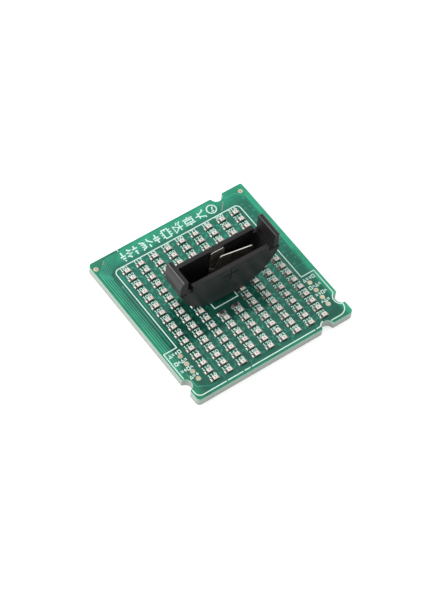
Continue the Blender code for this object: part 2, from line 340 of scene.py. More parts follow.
def mask_material(name, middle, border, traced=1.0, cloud=0.14):
    """Lacquer over copper: the metal's gloss seen through green under a clear coat, with painted shade
    darkening the middle and the front.

    traced darkens the strip left of the frame and its corner, where the laminate shows between the traces.
    """
    surface = Surface(
        name, 0.24, 0.6, Specular_IOR_Level=0.25, Coat_Weight=0.5, Coat_Roughness=0.1, Coat_IOR=1.5
    )
    x, y = surface.axis("X"), surface.axis("Y")
    strip = surface.spread(x, FRAME_LEFT, FRAME_LEFT - 0.6)
    corner = surface.spread(surface.math("SUBTRACT", y, x), 29.4, 30.4)
    # Painted shade and light: the middle's green darkens towards the front and brightens towards the rear.
    middle = surface.shaded(middle, surface.spread(y, -HALF, HALF), (0.0, 0.82), (1.0, 1.16))
    green = surface.mix(border_share(surface), middle, border)
    clouds = surface.spread(surface.noise(3.2, 4.0), 0.3, 0.7)
    green = surface.shaded(green, clouds, (0.0, 1 - cloud), (1.0, 1 + cloud))
    green = surface.shaded(green, surface.math("MAXIMUM", strip, corner), (0.0, 1.0), (1.0, traced))
    weave = surface.noise(0.5, 1.0, (1, 0.2, 1))
    weave = surface.math("ADD", weave, surface.noise(0.5, 1.0, (0.2, 1, 1)))
    surface.colour(surface.shaded(green, weave, (0.3, 0.95), (1.0, 1.06)))
    surface.put(surface.shader.inputs["Metallic"], surface.spread(strip, 0.0, 1.0, 0.6, 0.12))
    surface.rough(surface.noise(1.6, 3.0), 0.15, 0.21)
    return surface.bump(surface.math("ADD", weave, surface.noise(0.25, 2.0)), 0.003, 0.5).material


def glass_fibre_material():
    """The routed edge: resin and glass in layers, greener by the two lacquered faces."""
    surface = Surface("glass_fibre_edge", 0.6)
    height = surface.math("DIVIDE", surface.axis("Z"), TOP)
    wander = surface.math("MULTIPLY", surface.math("SUBTRACT", surface.noise(2.5, 2.0), 0.5), 0.05)
    layers = surface.ramp(
        surface.math("ADD", height, wander),
        (0.0, (0.20, 0.26, 0.22)),
        (0.12, (0.27, 0.29, 0.26)),
        (0.40, (0.33, 0.35, 0.33)),
        (0.52, (0.27, 0.30, 0.28)),
        (0.62, (0.31, 0.36, 0.32)),
        (0.82, (0.26, 0.37, 0.31)),
        (0.93, (0.22, 0.40, 0.31)),
        (1.0, (0.26, 0.50, 0.37)),
    )
    fibres = surface.noise(0.9, 4.0, (1, 1, 14))
    surface.colour(surface.shaded(layers, fibres, (0.3, 0.8), (0.7, 1.12)))
    surface.rough(fibres, 0.5, 0.75)
    return surface.bump(fibres, 0.03).material


def print_material():
    """White legend ink, a little thin in specks."""
    surface = Surface("legend_ink", 0.5)
    specks = surface.noise(0.35, 3.0)
    surface.colour(surface.ramp(specks, (0.25, (0.52, 0.68, 0.61)), (0.5, (0.66, 0.86, 0.78))))
    surface.rough(specks, 0.42, 0.6)
    return surface.bump(specks, 0.008).material


def plastic_material():
    """Black moulded plastic with a fine spark-eroded grain."""
    surface = Surface("black_plastic", 0.32, Specular_IOR_Level=0.36)
    grain = surface.noise(0.16, 2.0)
    patches = surface.noise(6.0, 1.0)
    surface.colour(surface.ramp(patches, (0.3, (0.0125, 0.0114, 0.0125)), (0.7, (0.0155, 0.0142, 0.0155))))
    surface.rough(patches, 0.3, 0.35)
    return surface.bump(grain, 0.002, 0.5).material


def metal_material(name, dark, light, low, high, size, depth, metallic=1.0):
    """Bare or plated metal with a fine grain and slight tarnish."""
    surface = Surface(name, low, metallic)
    grain = surface.noise(size, 4.0)
    surface.colour(surface.ramp(grain, (0.3, dark), (0.7, light)))
    surface.rough(grain, low, high)
    return surface.bump(grain, depth).material


def epoxy_material(name, dark, light, roughness, size):
    """Resin, coat or ceramic with faint clouds."""
    surface = Surface(name, roughness)
    clouds = surface.noise(size, 2.0)
    surface.colour(surface.ramp(clouds, (0.3, dark), (0.7, light)))
    surface.rough(clouds, roughness * 0.8, roughness * 1.2)
    return surface.bump(surface.noise(size * 0.3, 2.0), 0.006).material


# The first colour of each lacquer is darker: painted shade over the board's middle.
MASK = mask_material("solder_mask", (0.010, 0.142, 0.095), (0.022, 0.35, 0.195), 0.6)
COPPER = mask_material("mask_over_copper", (0.031, 0.29, 0.2), (0.055, 0.50, 0.325), 1.0, 0.1)
EDGE = glass_fibre_material()
PRINT = print_material()
PLASTIC = plastic_material()
# Lit and shaded copies of the contact metal: a painted highlight for faces looking up near the crest, painted
# shade for the rest.
LIT_CONTACT_TOP = metal_material("contact_painted_highlight", (0.78, 0.75, 0.68), (0.95, 0.93, 0.88), 0.15, 0.25, 1.5, 0.0002)
SHADED_CONTACT = metal_material(
    "contact_metal", (0.28, 0.265, 0.22), (0.40, 0.375, 0.315), 0.42, 0.54, 1.5, 0.0002, 0.93
)
SOLDER = metal_material("solder", (0.25, 0.24, 0.225), (0.48, 0.455, 0.43), 0.36, 0.5, 0.3, 0.012)
GOLD = metal_material("gold_plate", (0.62, 0.47, 0.33), (0.90, 0.75, 0.57), 0.35, 0.5, 1.3, 0.008)
LENS = epoxy_material("lamp_epoxy", (0.62, 0.58, 0.53), (0.84, 0.80, 0.75), 0.25, 0.9)
# Dark lamp sides: painted shade along the foot of each lamp.
SHADED_LAMP_SIDE = epoxy_material("lamp_side_painted_shade", (0.012, 0.022, 0.015), (0.04, 0.05, 0.035), 0.2, 0.4)
BASE = epoxy_material("lamp_base", (0.42, 0.37, 0.34), (0.60, 0.54, 0.50), 0.5, 0.4)
DIE = epoxy_material("lamp_die", (0.30, 0.16, 0.15), (0.46, 0.27, 0.25), 0.3, 0.1)
# Dark material of the lamps' polarity marks, which also paints the shade of the via holes.
POLARITY_AND_HOLE_SHADE = epoxy_material("polarity_mark_and_hole_shade", (0.018, 0.03, 0.022), (0.05, 0.07, 0.05), 0.4, 0.3)
RESISTOR = epoxy_material("resistor_coat", (0.018, 0.015, 0.018), (0.05, 0.042, 0.046), 0.3, 0.5)
CERAMIC = epoxy_material("resistor_ceramic", (0.60, 0.58, 0.56), (0.78, 0.76, 0.74), 0.5, 0.3)


# Mesh building, in millimetres


def finish_piece(name, bm, materials, body=CARD, replaces=(), smooth=None):
    """An object from a bmesh in millimetres, riding on its body."""
    bmesh.ops.scale(bm, verts=bm.verts, vec=(MM, MM, MM))
    data = bpy.data.meshes.new(name)
    bm.to_mesh(data)
    bm.free()
    for material in materials:
        data.materials.append(material)
    if smooth is not None:
        data.shade_smooth()
        data.set_sharp_from_angle(angle=math.radians(smooth))
    piece = bpy.data.objects.new(name, data)
    bpy.context.scene.collection.objects.link(piece)
    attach(piece, body)
    if replaces:
        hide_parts(*replaces)
    return piece


def loft(bm, loops, looks, first_look=0, last_look=0):
    """A closed solid through loops of equally many points. looks holds one material index per band."""
    rings = [[bm.verts.new(p) for p in loop] for loop in loops]
    made = []
    for lower, upper, look in zip(rings, rings[1:], looks):
        count = len(lower)
        for i in range(count):
            j = (i + 1) % count
            face = bm.faces.new((lower[i], lower[j], upper[j], upper[i]))
            face.material_index = look
            made.append(face)
    for cap, look in ((rings[0][::-1], first_look), (rings[-1], last_look)):
        face = bm.faces.new(cap)
        face.material_index = look
        made.append(face)
    return made


def flat_loop(points, z):
    return [(x, y, z) for x, y in points]


def rectangle(x0, x1, y0, y1, chamfer=0.0):
    """Anticlockwise, with four points or, with chamfered corners, eight."""
    if not chamfer:
        return [(x0, y0), (x1, y0), (x1, y1), (x0, y1)]
    c = chamfer
    return [
        (x0 + c, y0), (x1 - c, y0), (x1, y0 + c), (x1, y1 - c),
        (x1 - c, y1), (x0 + c, y1), (x0, y1 - c), (x0, y0 + c),
    ]


def arc(centre, radius, start, end, steps):
    """Points along an arc between two angles in degrees."""
    turns = [math.radians(start + (end - start) * i / steps) for i in range(steps + 1)]
    return [(centre[0] + radius * math.cos(a), centre[1] + radius * math.sin(a)) for a in turns]


def circle(centre, radius, sides):
    return arc(centre, radius, 0, 360 - 360 / sides, sides - 1)


def disc(bm, centre, radius, low, high, sides, ease=0.0, look=0):
    """A round plate, whose upper rim can be eased."""
    loops = [flat_loop(circle(centre, radius, sides), low)]
    if ease:
        loops.append(flat_loop(circle(centre, radius, sides), high - ease))
    loops.append(flat_loop(circle(centre, radius - ease, sides), high))
    loft(bm, loops, [look] * (len(loops) - 1), look, look)


def ring(bm, centre, outer, inner, low, high, sides):
    """A flat round ring."""
    loops = [
        [bm.verts.new((x, y, z)) for x, y in circle(centre, r, sides)]
        for r, z in ((inner, low), (outer, low), (outer, high), (inner, high))
    ]
    for first, second in zip(loops, loops[1:] + loops[:1]):
        for i in range(sides):
            j = (i + 1) % sides
            bm.faces.new((first[i], first[j], second[j], second[i]))


def unit(dx, dy):
    length = math.hypot(dx, dy)
    return dx / length, dy / length


def offsets(points, half, closed):
    """The points left and right of a path, with mitred corners."""
    count = len(points)
    left, right = [], []
    for i, (x, y) in enumerate(points):
        ways = []
        if closed or i > 0:
            px, py = points[i - 1]
            ways.append(unit(x - px, y - py))
        if closed or i < count - 1:
            nx, ny = points[(i + 1) % count]
            ways.append(unit(nx - x, ny - y))
        mx, my = unit(sum(w[0] for w in ways), sum(w[1] for w in ways))
        reach = half / max(0.6, mx * ways[0][0] + my * ways[0][1])
        left.append((x - my * reach, y + mx * reach))
        right.append((x + my * reach, y - mx * reach))
    return left, right


def ribbon(bm, points, width, low, high, closed=False):
    """A flat strip along a path, as a closed solid."""
    left, right = offsets(points, width / 2, closed)
    corners = []
    for (lx, ly), (rx, ry) in zip(left, right):
        section = ((rx, ry, low), (rx, ry, high), (lx, ly, high), (lx, ly, low))
        corners.append([bm.verts.new(p) for p in section])
    spans = list(zip(corners, corners[1:]))
    if closed:
        spans.append((corners[-1], corners[0]))
    else:
        bm.faces.new(corners[0])
        bm.faces.new(corners[-1][::-1])
    for near, far in spans:
        for i in range(4):
            j = (i + 1) % 4
            bm.faces.new((near[j], near[i], far[i], far[j]))


def stroke_all(bm, strokes, origin, scale, width, low, high):
    """Strokes drawn in a unit cell, placed and scaled, each a little above the one before.

    A stroke that ends where it starts is closed.
    """
    for step, stroke in enumerate(strokes):
        points = [(origin[0] + x * scale[0], origin[1] + y * scale[1]) for x, y in stroke]
        closed = stroke[0] == stroke[-1]
        ribbon(bm, points[:-1] if closed else points, width, low, high + step * LAYER_STEP, closed)


# Board


def sheet_of(bm, z_sign, inset):
    """Keeps only the board's upper or lower face, drawn in from its outline."""
    drop = [f for f in bm.faces if f.normal.z * z_sign < 0.9]
    bmesh.ops.delete(bm, geom=drop, context="FACES")
    bmesh.ops.dissolve_limit(bm, angle_limit=math.radians(1), verts=bm.verts, edges=bm.edges)
    rim = bmesh.ops.inset_region(bm, faces=bm.faces, thickness=inset, use_boundary=True, use_even_offset=True)
    bmesh.ops.delete(bm, geom=rim["faces"], context="FACES")


def cad_bmesh(node):
    """A copy of a CAD node's mesh, in millimetres and welded."""
    bm = bmesh.new()
    bm.from_mesh(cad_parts[node].data)
    bmesh.ops.scale(bm, verts=bm.verts, vec=(1 / MM,) * 3)
    bmesh.ops.remove_doubles(bm, verts=bm.verts, dist=WELD)
    bmesh.ops.recalc_face_normals(bm, faces=bm.faces)
    for face in bm.faces:
        face.material_index = 0
    return bm


def ease_edges(bm, width, steps, angle, above=-1.0):
    """Rounds every edge sharper than the angle that lies wholly above that height."""
    bmesh.ops.dissolve_limit(bm, angle_limit=math.radians(0.5), verts=bm.verts, edges=bm.edges)
    sharp = [e for e in bm.edges if len(e.link_faces) == 2 and e.calc_face_angle() > math.radians(angle)]
    sharp = [e for e in sharp if min(v.co.z for v in e.verts) > above]
    bmesh.ops.bevel(
        bm, geom=sharp, offset=width, segments=steps, profile=0.5, affect="EDGES", clamp_overlap=True
    )


def make_board_core():
    """The laminate, thinned to leave room for the lacquer and the lands."""
    bm = cad_bmesh("circuit_board")
    for vert in bm.verts:
        if vert.co.z > TOP / 2:
            vert.co.z -= MASK_THICK / 2
        else:
            vert.co.z += LAND_THICK + MASK_THICK / 2
    ease_edges(bm, EDGE_EASE, 2, 50)
    finish_piece("board_core", bm, [EDGE], replaces=("circuit_board",), smooth=35)


def make_mask(name, z_sign, level):
    """One coat of lacquer, whose outer face is at that height."""
    bm = cad_bmesh("circuit_board")
    sheet_of(bm, z_sign, MASK_INSET)
    for vert in bm.verts:
        vert.co.z = level
    grown = bmesh.ops.extrude_face_region(bm, geom=list(bm.faces))["geom"]
    moved = [g for g in grown if isinstance(g, bmesh.types.BMVert)]
    bmesh.ops.translate(bm, verts=moved, vec=(0, 0, -z_sign * MASK_THICK))
    bmesh.ops.recalc_face_normals(bm, faces=bm.faces)
    finish_piece(name, bm, [MASK])


# Copper under the mask


def lamp_places():
    """Every lamp's place, by bank: the bank's node and its lamps' centres from the top row down."""
    banks = []
    for node in sorted(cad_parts):
        if not node.startswith("lamp_bank_"):
            continue
        low, high = (in_mm(c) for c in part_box(node))
        count = round((high[1] - low[1] - LAMP_WIDTH) / ROW_PITCH) + 1
        x = (low[0] + high[0]) / 2
        banks.append((node, [(x, high[1] - LAMP_WIDTH / 2 - i * ROW_PITCH) for i in range(count)]))
    return banks


LAMPS = lamp_places()


def border_bundle():
    """Signal traces side by side: up the left border, round the corner and along the title edge.

    Every other trace starts just below the bend, and the rest start further down the border.
    """
    paths = []
    for i in range(BUNDLE):
        x, y = BUNDLE_LEFT + i * BUNDLE_PITCH, BUNDLE_TOP - i * BUNDLE_TOP_PITCH
        bend = BUNDLE_BEND - i * BUNDLE_BEND_STEP
        foot = bend - BUNDLE_SHORT if i % 2 else BUNDLE_FOOT + i * BUNDLE_FOOT_STEP
        slant = BUNDLE_SLANT - i * BUNDLE_SLANT_STEP
        paths.append([(x, foot), (x, bend), (x + slant, y), (BUNDLE_END - i * BUNDLE_END_STEP, y)])
    return paths


def loose_traces():
    """Longer runs between the columns, along the right border and across the foot of the board."""
    return [
        [(-15.95, 10.4), (-15.95, -5.6)],
        [(-14.72, 13.4), (-14.72, -5.9)],
        [(-11.58, -4.2), (-11.58, -17.4)],
        [(-17.2, -12.6), (-17.2, -15.9), (-14.6, -17.3), (-13.4, -17.3), (-12.6, -16.6)],
        [(13.6, 17.3), (15.95, 17.3), (17.74, 15.5), (17.74, -0.2)],
        [(15.4, -4.1), (18.2, -4.1)],
        [(0.4, -15.4), (13.2, -15.4)],
        [(-10.1, -13.5), (-7.6, -13.5)],
        [(-8.2, -9.75), (-3.6, -9.75)],
        [(-10.2, -7.6), (-12.3, -7.6)],
        [(4.7, -17.1), (4.7, -18.3)],
        [(-5.2, -16.9), (-5.2, -18.3)],
        [(10.6, -17.0), (10.6, -18.3)],
        [(-8.5, -16.9), (-8.8, -17.6)],
    ]


def right_vias():
    """Vias of the right border, in staggered rows. The outermost column starts in the last four rows."""
    places = []
    for row in range(VIA_ROWS):
        y = VIA_TOP - row * VIA_PITCH
        for column, x in enumerate(VIA_COLUMNS):
            outermost = column == len(VIA_COLUMNS) - 1
            if (row + 2 * column) % 3 != 0 and not (outermost and row < VIA_ROWS - 4):
                places.append((x, y))
    return places


def lamp_escapes():
    """A short trace from each lamp's right pad to its own via in the lane beside the column."""
    draw = random.Random(7)
    traces, vias = [], []
    for _, places in LAMPS:
        for x, y in places:
            rise = draw.choice((-0.55, -0.3, 0.3, 0.5))
            lane = x + draw.choice((1.5, 1.6, 1.75))
            if lane > FRAME_RIGHT - 0.4:
                continue
            start = x + ESCAPE_START
            reach = lane - x - ESCAPE_START - abs(rise)
            via = (lane, y + rise)
            traces.append([(start, y), (start + max(reach, 0.05), y), via])
            vias.append(via)
            if draw.random() < 0.45:
                drop = draw.choice((-0.9, 0.8))
                elbow = y + rise + math.copysign(ESCAPE_JOG, drop)
                traces.append([via, (lane + ESCAPE_JOG, elbow), (lane + ESCAPE_JOG, y + rise + drop)])
    return traces, vias


def under_holder(point):
    """Whether the holder's foot would hide a trace or via there."""
    low, high = (in_mm(c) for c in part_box("battery_holder"))
    beside = low[1] - HOLDER_HIDES_Y < point[1] < high[1] + HOLDER_HIDES_Y
    return beside and abs(point[0]) < HOLDER_HIDES_X


def make_copper():
    """Traces and via rims stand a little proud under the lacquer, and each via's hole is a dark disc of
    painted shade.
    """
    low, high = TOP - LAYER_SINK, TOP + COPPER_RISE
    escapes, vias = lamp_escapes()
    bm = bmesh.new()
    for path in border_bundle():
        ribbon(bm, path, BUNDLE_TRACE, low, high)
    for k, path in enumerate(loose_traces() + [p for p in escapes if not under_holder(p[0])]):
        ribbon(bm, path, TRACE, low, high + (k % 3 + 1) * LAYER_STEP)
    for place in [v for v in vias if not under_holder(v)] + right_vias() + [LONE_VIA]:
        ring(bm, place, VIA_R, VIA_HOLE_R, low, high + 4 * LAYER_STEP, VIA_SIDES)
        # Painted shade: a dark disc in place of the via's hole.
        disc(bm, place, VIA_HOLE_R + 0.01, low, TOP + BARE_RISE, 12, look=1)
    finish_piece("copper_traces", bm, [COPPER, POLARITY_AND_HOLE_SHADE])


# Print: strokes in a unit cell, from (0, 0) at its lower left to (1, 1)

DIGITS = (
    (((0, 0.2), (0, 0.8), (0.25, 1), (0.75, 1), (1, 0.8), (1, 0.2), (0.75, 0), (0.25, 0), (0, 0.2)),),
    (((0.2, 0.8), (0.55, 1), (0.55, 0)), ((0.15, 0), (0.95, 0))),
    (((0, 0.8), (0.25, 1), (0.75, 1), (1, 0.8), (1, 0.6), (0, 0), (1, 0)),),
    (((0, 1), (1, 1), (0.45, 0.6), (0.8, 0.6), (1, 0.4), (1, 0.2), (0.75, 0), (0.25, 0), (0, 0.15)),),
    (((0.75, 0), (0.75, 1), (0, 0.3), (1, 0.3)),),
    (((1, 1), (0.1, 1), (0, 0.55), (0.7, 0.6), (1, 0.4), (1, 0.2), (0.75, 0), (0.25, 0), (0, 0.15)),),
    ((
        (0.9, 1), (0.4, 0.9), (0, 0.4), (0, 0.2), (0.25, 0),
        (0.75, 0), (1, 0.2), (1, 0.4), (0.7, 0.55), (0, 0.4),
    ),),
    (((0, 1), (1, 1), (0.35, 0)),),
    (
        ((0.25, 0.55), (0, 0.75), (0.25, 1), (0.75, 1), (1, 0.75), (0.75, 0.55), (0.25, 0.55)),
        ((0.25, 0.55), (0, 0.2), (0.25, 0), (0.75, 0), (1, 0.2), (0.75, 0.55)),
    ),
    ((
        (0.1, 0), (0.6, 0.1), (1, 0.6), (1, 0.8), (0.75, 1),
        (0.25, 1), (0, 0.8), (0, 0.6), (0.3, 0.45), (1, 0.6),
    ),),
)


def round_mark(radius, sides):
    """A closed round stroke in the middle of the cell."""
    points = circle((0.5, 0.5), radius, sides)
    return tuple(points + points[:1])


def bumps(x, low, high, count, radius):
    """A coil's turns, one above the other."""
    step = (high - low) / count
    points = [(x, high)]
    for i in range(count):
        middle = high - (i + 0.5) * step
        points += [(x + radius * math.cos(t), middle + step / 2 * math.sin(t)) for t in (0.8, 0.0, -0.8)]
        points.append((x, high - (i + 1) * step))
    return tuple(points)


EARTH_MARK = (
    ((0.5, 1), (0.5, 0.5)), ((0, 0.5), (1, 0.5)), ((0.2, 0.26), (0.8, 0.26)), ((0.36, 0), (0.64, 0)),
)
CELL_MARK = (
    ((0.5, 1), (0.5, 0.68)), ((0, 0.68), (1, 0.68)), ((0.25, 0.38), (0.75, 0.38)), ((0.5, 0.38), (0.5, 0)),
)
ZIGZAG_MARK = (((0.5, 1), (0.5, 0.86), (1, 0.76), (0, 0.6), (1, 0.44), (0, 0.28), (0.5, 0.16), (0.5, 0)),)
COIL_MARK = (((0.3, 1), (0.3, 0.85)), bumps(0.3, 0.15, 0.85, 3, 0.6), ((0.3, 0.15), (0.3, 0)))
SWITCH_MARK = (((0.3, 1), (0.3, 0.74), (0.95, 0.4)), ((0.3, 0.34), (0.3, 0)))
PLATES_MARK = (((0.5, 1), (0.5, 0.6)), ((0, 0.6), (1, 0.6)), ((0, 0.38), (1, 0.38)), ((0.5, 0.38), (0.5, 0)))
CHIP_MARK = (
    ((0.22, 0.02), (0.78, 0.02), (0.78, 0.98), (0.22, 0.98), (0.22, 0.02)),
    ((0, 0.22), (0.22, 0.22)), ((0, 0.5), (0.22, 0.5)), ((0, 0.78), (0.22, 0.78)),
    ((0.78, 0.22), (1, 0.22)), ((0.78, 0.5), (1, 0.5)), ((0.78, 0.78), (1, 0.78)), ((0.5, 0.78), (0.5, 0.98)),
)
CRYSTAL_MARK = (
    ((0.5, 1), (0.5, 0.82)), ((0, 0.82), (1, 0.82)),
    ((0.1, 0.36), (0.9, 0.36), (0.9, 0.64), (0.1, 0.64), (0.1, 0.36)),
    ((0, 0.18), (1, 0.18)), ((0.5, 0.18), (0.5, 0)),
)
DIODE_MARK = (
    ((0.1, 0.02), (0.1, 0.78), (0.6, 0.4), (0.1, 0.02)), ((0.7, 0.02), (0.7, 0.78)), ((0.7, 0.4), (1, 0.4)),
    ((0.45, 0.78), (0.66, 1)), ((0.72, 0.78), (0.93, 1)),
)
METER_MARK = (round_mark(0.46, 20), ((0.5, 0.42), (0.7, 0.72)), ((0.36, 0.26), (0.64, 0.26)))
TRANSISTOR_MARK = (
    ((0, 0.5), (0.34, 0.5)), ((0.34, 0.16), (0.34, 0.84)),
    ((0.34, 0.6), (0.9, 0.84), (0.9, 1)), ((0.34, 0.4), (0.9, 0.16), (0.9, 0)),
)

# Groups along the title edge: left end, pitch, width, stroke and symbols
TITLE = (
    (-12.35, 1.5, 1.15, 0.3, (EARTH_MARK, ZIGZAG_MARK, CELL_MARK)),
    (-7.65, 1.65, 1.3, 0.3, (COIL_MARK, SWITCH_MARK, PLATES_MARK)),
    (-2.45, 2.78, 2.25, 0.25, (CHIP_MARK, DIODE_MARK, CRYSTAL_MARK, TRANSISTOR_MARK, METER_MARK)),
)
SMALL_MARKS = (
    (((0, 0), (0.5, 1), (1, 0), (0, 0)),),
    (((0, 0.3), (1, 0.3)), ((0, 0.75), (1, 0.75))),
    (((0.5, 0), (0.5, 1)), ((0, 0.5), (1, 0.5))),
    (((0, 0), (1, 0), (1, 1), (0, 1), (0, 0)),),
    (((0, 0.2), (0.5, 0.85), (1, 0.2)),),
)


def frame_paths():
    """The printed frame round the lamps, with its two wings, broken at the notches and by a few traces."""
    bend = FRAME_BEND
    crown = arc((FRAME_LEFT + bend, FRAME_TOP - bend), bend, 180, 90, 6)
    crown += arc((FRAME_RIGHT - bend, FRAME_TOP - bend), bend, 90, 0, 6)
    upper = [(OUTER_LEFT, NOTCH_DOWN + 1.4), (OUTER_LEFT, FRAME_STEP), (FRAME_LEFT, FRAME_STEP)]
    upper += crown + [(FRAME_RIGHT, FRAME_STEP), (OUTER_RIGHT, FRAME_STEP), (OUTER_RIGHT, NOTCH_DOWN + 1.65)]
    upper += arc((HALF, NOTCH_DOWN), NOTCH_R + 0.34, 125, 235, 10)
    bend = RIGHT_FOOT_BEND
    upper += arc((OUTER_RIGHT - bend, OUTER_BOTTOM + bend), bend, 10, -90, 10)
    upper += [(NOTCH_ALONG + 1.3, OUTER_BOTTOM)]
    bend = LEFT_FOOT_BEND
    foot = [(OUTER_LEFT, NOTCH_DOWN - 1.45)]
    foot += arc((OUTER_LEFT + bend, OUTER_BOTTOM + bend), bend, 180, 270, 6)
    foot += [(FRAME_BREAKS[0], OUTER_BOTTOM)]
    notch_side = [(NOTCH_ALONG - 2.4, OUTER_BOTTOM)]
    notch_side += arc((NOTCH_ALONG, -HALF), NOTCH_R + 0.16, 150, 100, 5)
    pieces = [upper, foot, notch_side]
    ends = FRAME_BREAKS[1:] + (NOTCH_ALONG - 2.7,)
    pieces += [[(a, OUTER_BOTTOM), (b, OUTER_BOTTOM)] for a, b in zip(ends[::2], ends[1::2])]
    return pieces


def number_strokes(bm, number, centre, low, high):
    """A three-digit number about a centre."""
    text = f"{number:03d}"
    total = len(text) * DIGIT_WIDTH + (len(text) - 1) * DIGIT_GAP
    for i, digit in enumerate(text):
        left = centre[0] - total / 2 + i * (DIGIT_WIDTH + DIGIT_GAP)
        origin = (left, centre[1] - LABEL_HEIGHT / 2 + LABEL_STROKE / 2)
        size = (DIGIT_WIDTH - LABEL_STROKE * 0.3, LABEL_HEIGHT - LABEL_STROKE)
        stroke_all(bm, DIGITS[int(digit)], origin, size, LABEL_STROKE, low, high)


def make_print():
    """The frame, the title's symbols, a number over each lamp and small marks by the gold pads."""
    low, high = TOP - LAYER_SINK, TOP + PRINT_RISE
    bm = bmesh.new()
    for path in frame_paths() + [HOLDER_OUTLINE]:
        ribbon(bm, path, FRAME_STROKE, low, high)
    ribbon(bm, [(PRINTED_TICK_X, 18.2), (PRINTED_TICK_X, HALF - 0.1)], TICK_STROKE, low, high)
    finish_piece("printed_frame", bm, [PRINT])

    bm = bmesh.new()
    for left, pitch, width, stroke, marks in TITLE:
        for i, mark in enumerate(marks):
            stroke_all(bm, mark, (left + i * pitch, TITLE_FOOT), (width, TITLE_HEIGHT), stroke, low, high)
    finish_piece("printed_title_symbols", bm, [PRINT])

    bm = bmesh.new()
    number = FIRST_NUMBER
    for _, places in LAMPS:
        for x, y in places:
            number_strokes(bm, number, (x, y + LABEL_UP), low, high)
            number += 1
    finish_piece("printed_lamp_numbers", bm, [PRINT])

    bm = bmesh.new()
    for left, notched_end in ((LEFT_MARKS_X, 0), (RIGHT_MARKS_X, PAD_MARKS - 1)):
        for row, y in enumerate(PADS_Y):
            for i in range(PAD_MARKS):
                if row == len(PADS_Y) - 1 and i == notched_end:
                    continue
                mark = SMALL_MARKS[(3 * row + i) % len(SMALL_MARKS)]
                origin = (left + i * PAD_MARK_PITCH, y + PAD_MARK_UP)
                stroke_all(bm, mark, origin, PAD_MARK_SIZE, PAD_MARK_STROKE, low, high)
    finish_piece("printed_pad_symbols", bm, [PRINT])


# Pads, ticks and lands


def make_pads():
    """Gold test pads in clear rings, a drilled dot in each corner pad, and two tinned ticks."""
    places = [(x, y) for x in (LEFT_PADS_X, RIGHT_PADS_X) for y in PADS_Y] + list(CORNER_PADS)
    rims, pads = bmesh.new(), bmesh.new()
    for place in places:
        disc(rims, place, PAD_R + PAD_CLEARANCE, TOP - 0.01, TOP + BARE_RISE, PAD_SIDES)
        disc(pads, place, PAD_R, TOP, TOP + PAD_RISE, PAD_SIDES, PAD_EASE)
    finish_piece("pad_clearances", rims, [EDGE])
    for place in CORNER_PADS:
        disc(pads, place, CORNER_DOT_R, TOP + 0.02, TOP + 0.04, 16, look=1)
    finish_piece("gold_pads", pads, [GOLD, DIE])
    bm = bmesh.new()
    for path in TINNED_TICKS:
        ribbon(bm, path, TICK_STROKE, TOP, TOP + 0.03)
    finish_piece("tinned_ticks", bm, [SOLDER])


def land_shown(column, row):
    """Whether the grid has a land there: not in its middle, in three corners or beside the first."""
    across = abs(column - (LAND_COLUMNS - 1) / 2) < LAND_GAP_COLUMNS / 2
    along = abs(row - (LAND_ROWS - 1) / 2) < LAND_GAP_ROWS / 2
    key = (column, row) in ((0, 0), (1, 0), (0, 1), (LAND_COLUMNS - 1, 0), (0, LAND_ROWS - 1))
    return not key and not (across and along)


def notched(x, y):
    """Whether a land there would run over a key notch."""
    for nx, ny in ((HALF, NOTCH_DOWN), (-HALF, NOTCH_DOWN), (NOTCH_ALONG, HALF), (NOTCH_ALONG, -HALF)):
        if math.hypot(x - nx, y - ny) < LAND_CLEARANCE:
            return True
    return False


def make_lands():
    """The contact lands of the underside, flush with the face that the card rests on."""
    bm = bmesh.new()
    reach, radius = (LAND_LENGTH - LAND_WIDTH) / 2, LAND_WIDTH / 2
    for column in range(LAND_COLUMNS):
        for row in range(LAND_ROWS):
            if not land_shown(column, row):
                continue
            x = (column - (LAND_COLUMNS - 1) / 2) * LAND_PITCH_X
            y = (row - (LAND_ROWS - 1) / 2) * LAND_PITCH_Y
            if notched(x, y):
                continue
            outline = arc((x + reach, y), radius, -90, 90, 5) + arc((x - reach, y), radius, 90, 270, 5)
            loft(bm, [flat_loop(outline, 0.0), flat_loop(outline, LAND_THICK + 0.01)], [0])
    finish_piece("underside_lands", bm, [GOLD])


# Lamps and chip resistors


def lamp_base(bm, x, y, foot):
    """The lamp's base board, with a half-round bite in each end, and dark sides as painted shade."""
    half, side = LAMP_LENGTH / 2, LAMP_WIDTH / 2
    right_end = [(x + px, y + py) for px, py in arc((half, 0), BITE_R, 270, 90, 6)]
    left_end = [(x + px, y + py) for px, py in arc((-half, 0), BITE_R, 90, -90, 6)]
    outline = [(x - half, y - side), (x + half, y - side)] + right_end
    outline += [(x + half, y + side), (x - half, y + side)] + left_end
    loft(bm, [flat_loop(outline, foot), flat_loop(outline, foot + BASE_HEIGHT)], [1], 3, 3)


def lamp_lens(bm, x, y, foot, top):
    """The lamp's clear block: drafted sides, an eased rim and a shallow well with the die in it."""
    side = LAMP_WIDTH / 2

    def level(inset, z):
        width = side - inset * 0.6
        left, right = x + LENS_LEFT + inset, x + LENS_RIGHT - inset
        return flat_loop(rectangle(left, right, y - width, y + width, LENS_CHAMFER), z)

    def well(half, z):
        length = half * 1.3
        box = rectangle(x + DIE_X - length, x + DIE_X + length, y - half, y + half, half * 0.4)
        return flat_loop(box, z)

    # The lowest band of the block gets the dark side material, as painted shade.
    loops = [level(0, foot + BASE_HEIGHT), level(0.01, foot + BASE_HEIGHT + 0.1), level(0.03, top - 0.06)]
    loops += [level(0.05, top - 0.02), level(0.08, top), well(0.12, top), well(0.10, top - 0.04)]
    loft(bm, loops, [1, 0, 0, 0, 0, 2], 3, 2)


def lamp_mark(bm, x, y, foot):
    """The dark polarity bar between the left terminal and the clear block."""
    level = foot + BASE_HEIGHT
    bar = rectangle(x - 0.68, x + LENS_LEFT - 0.01, y - 0.36, y + 0.36)
    loft(bm, [flat_loop(bar, level - 0.01), flat_loop(bar, level + 0.03)], [4], 4, 4)


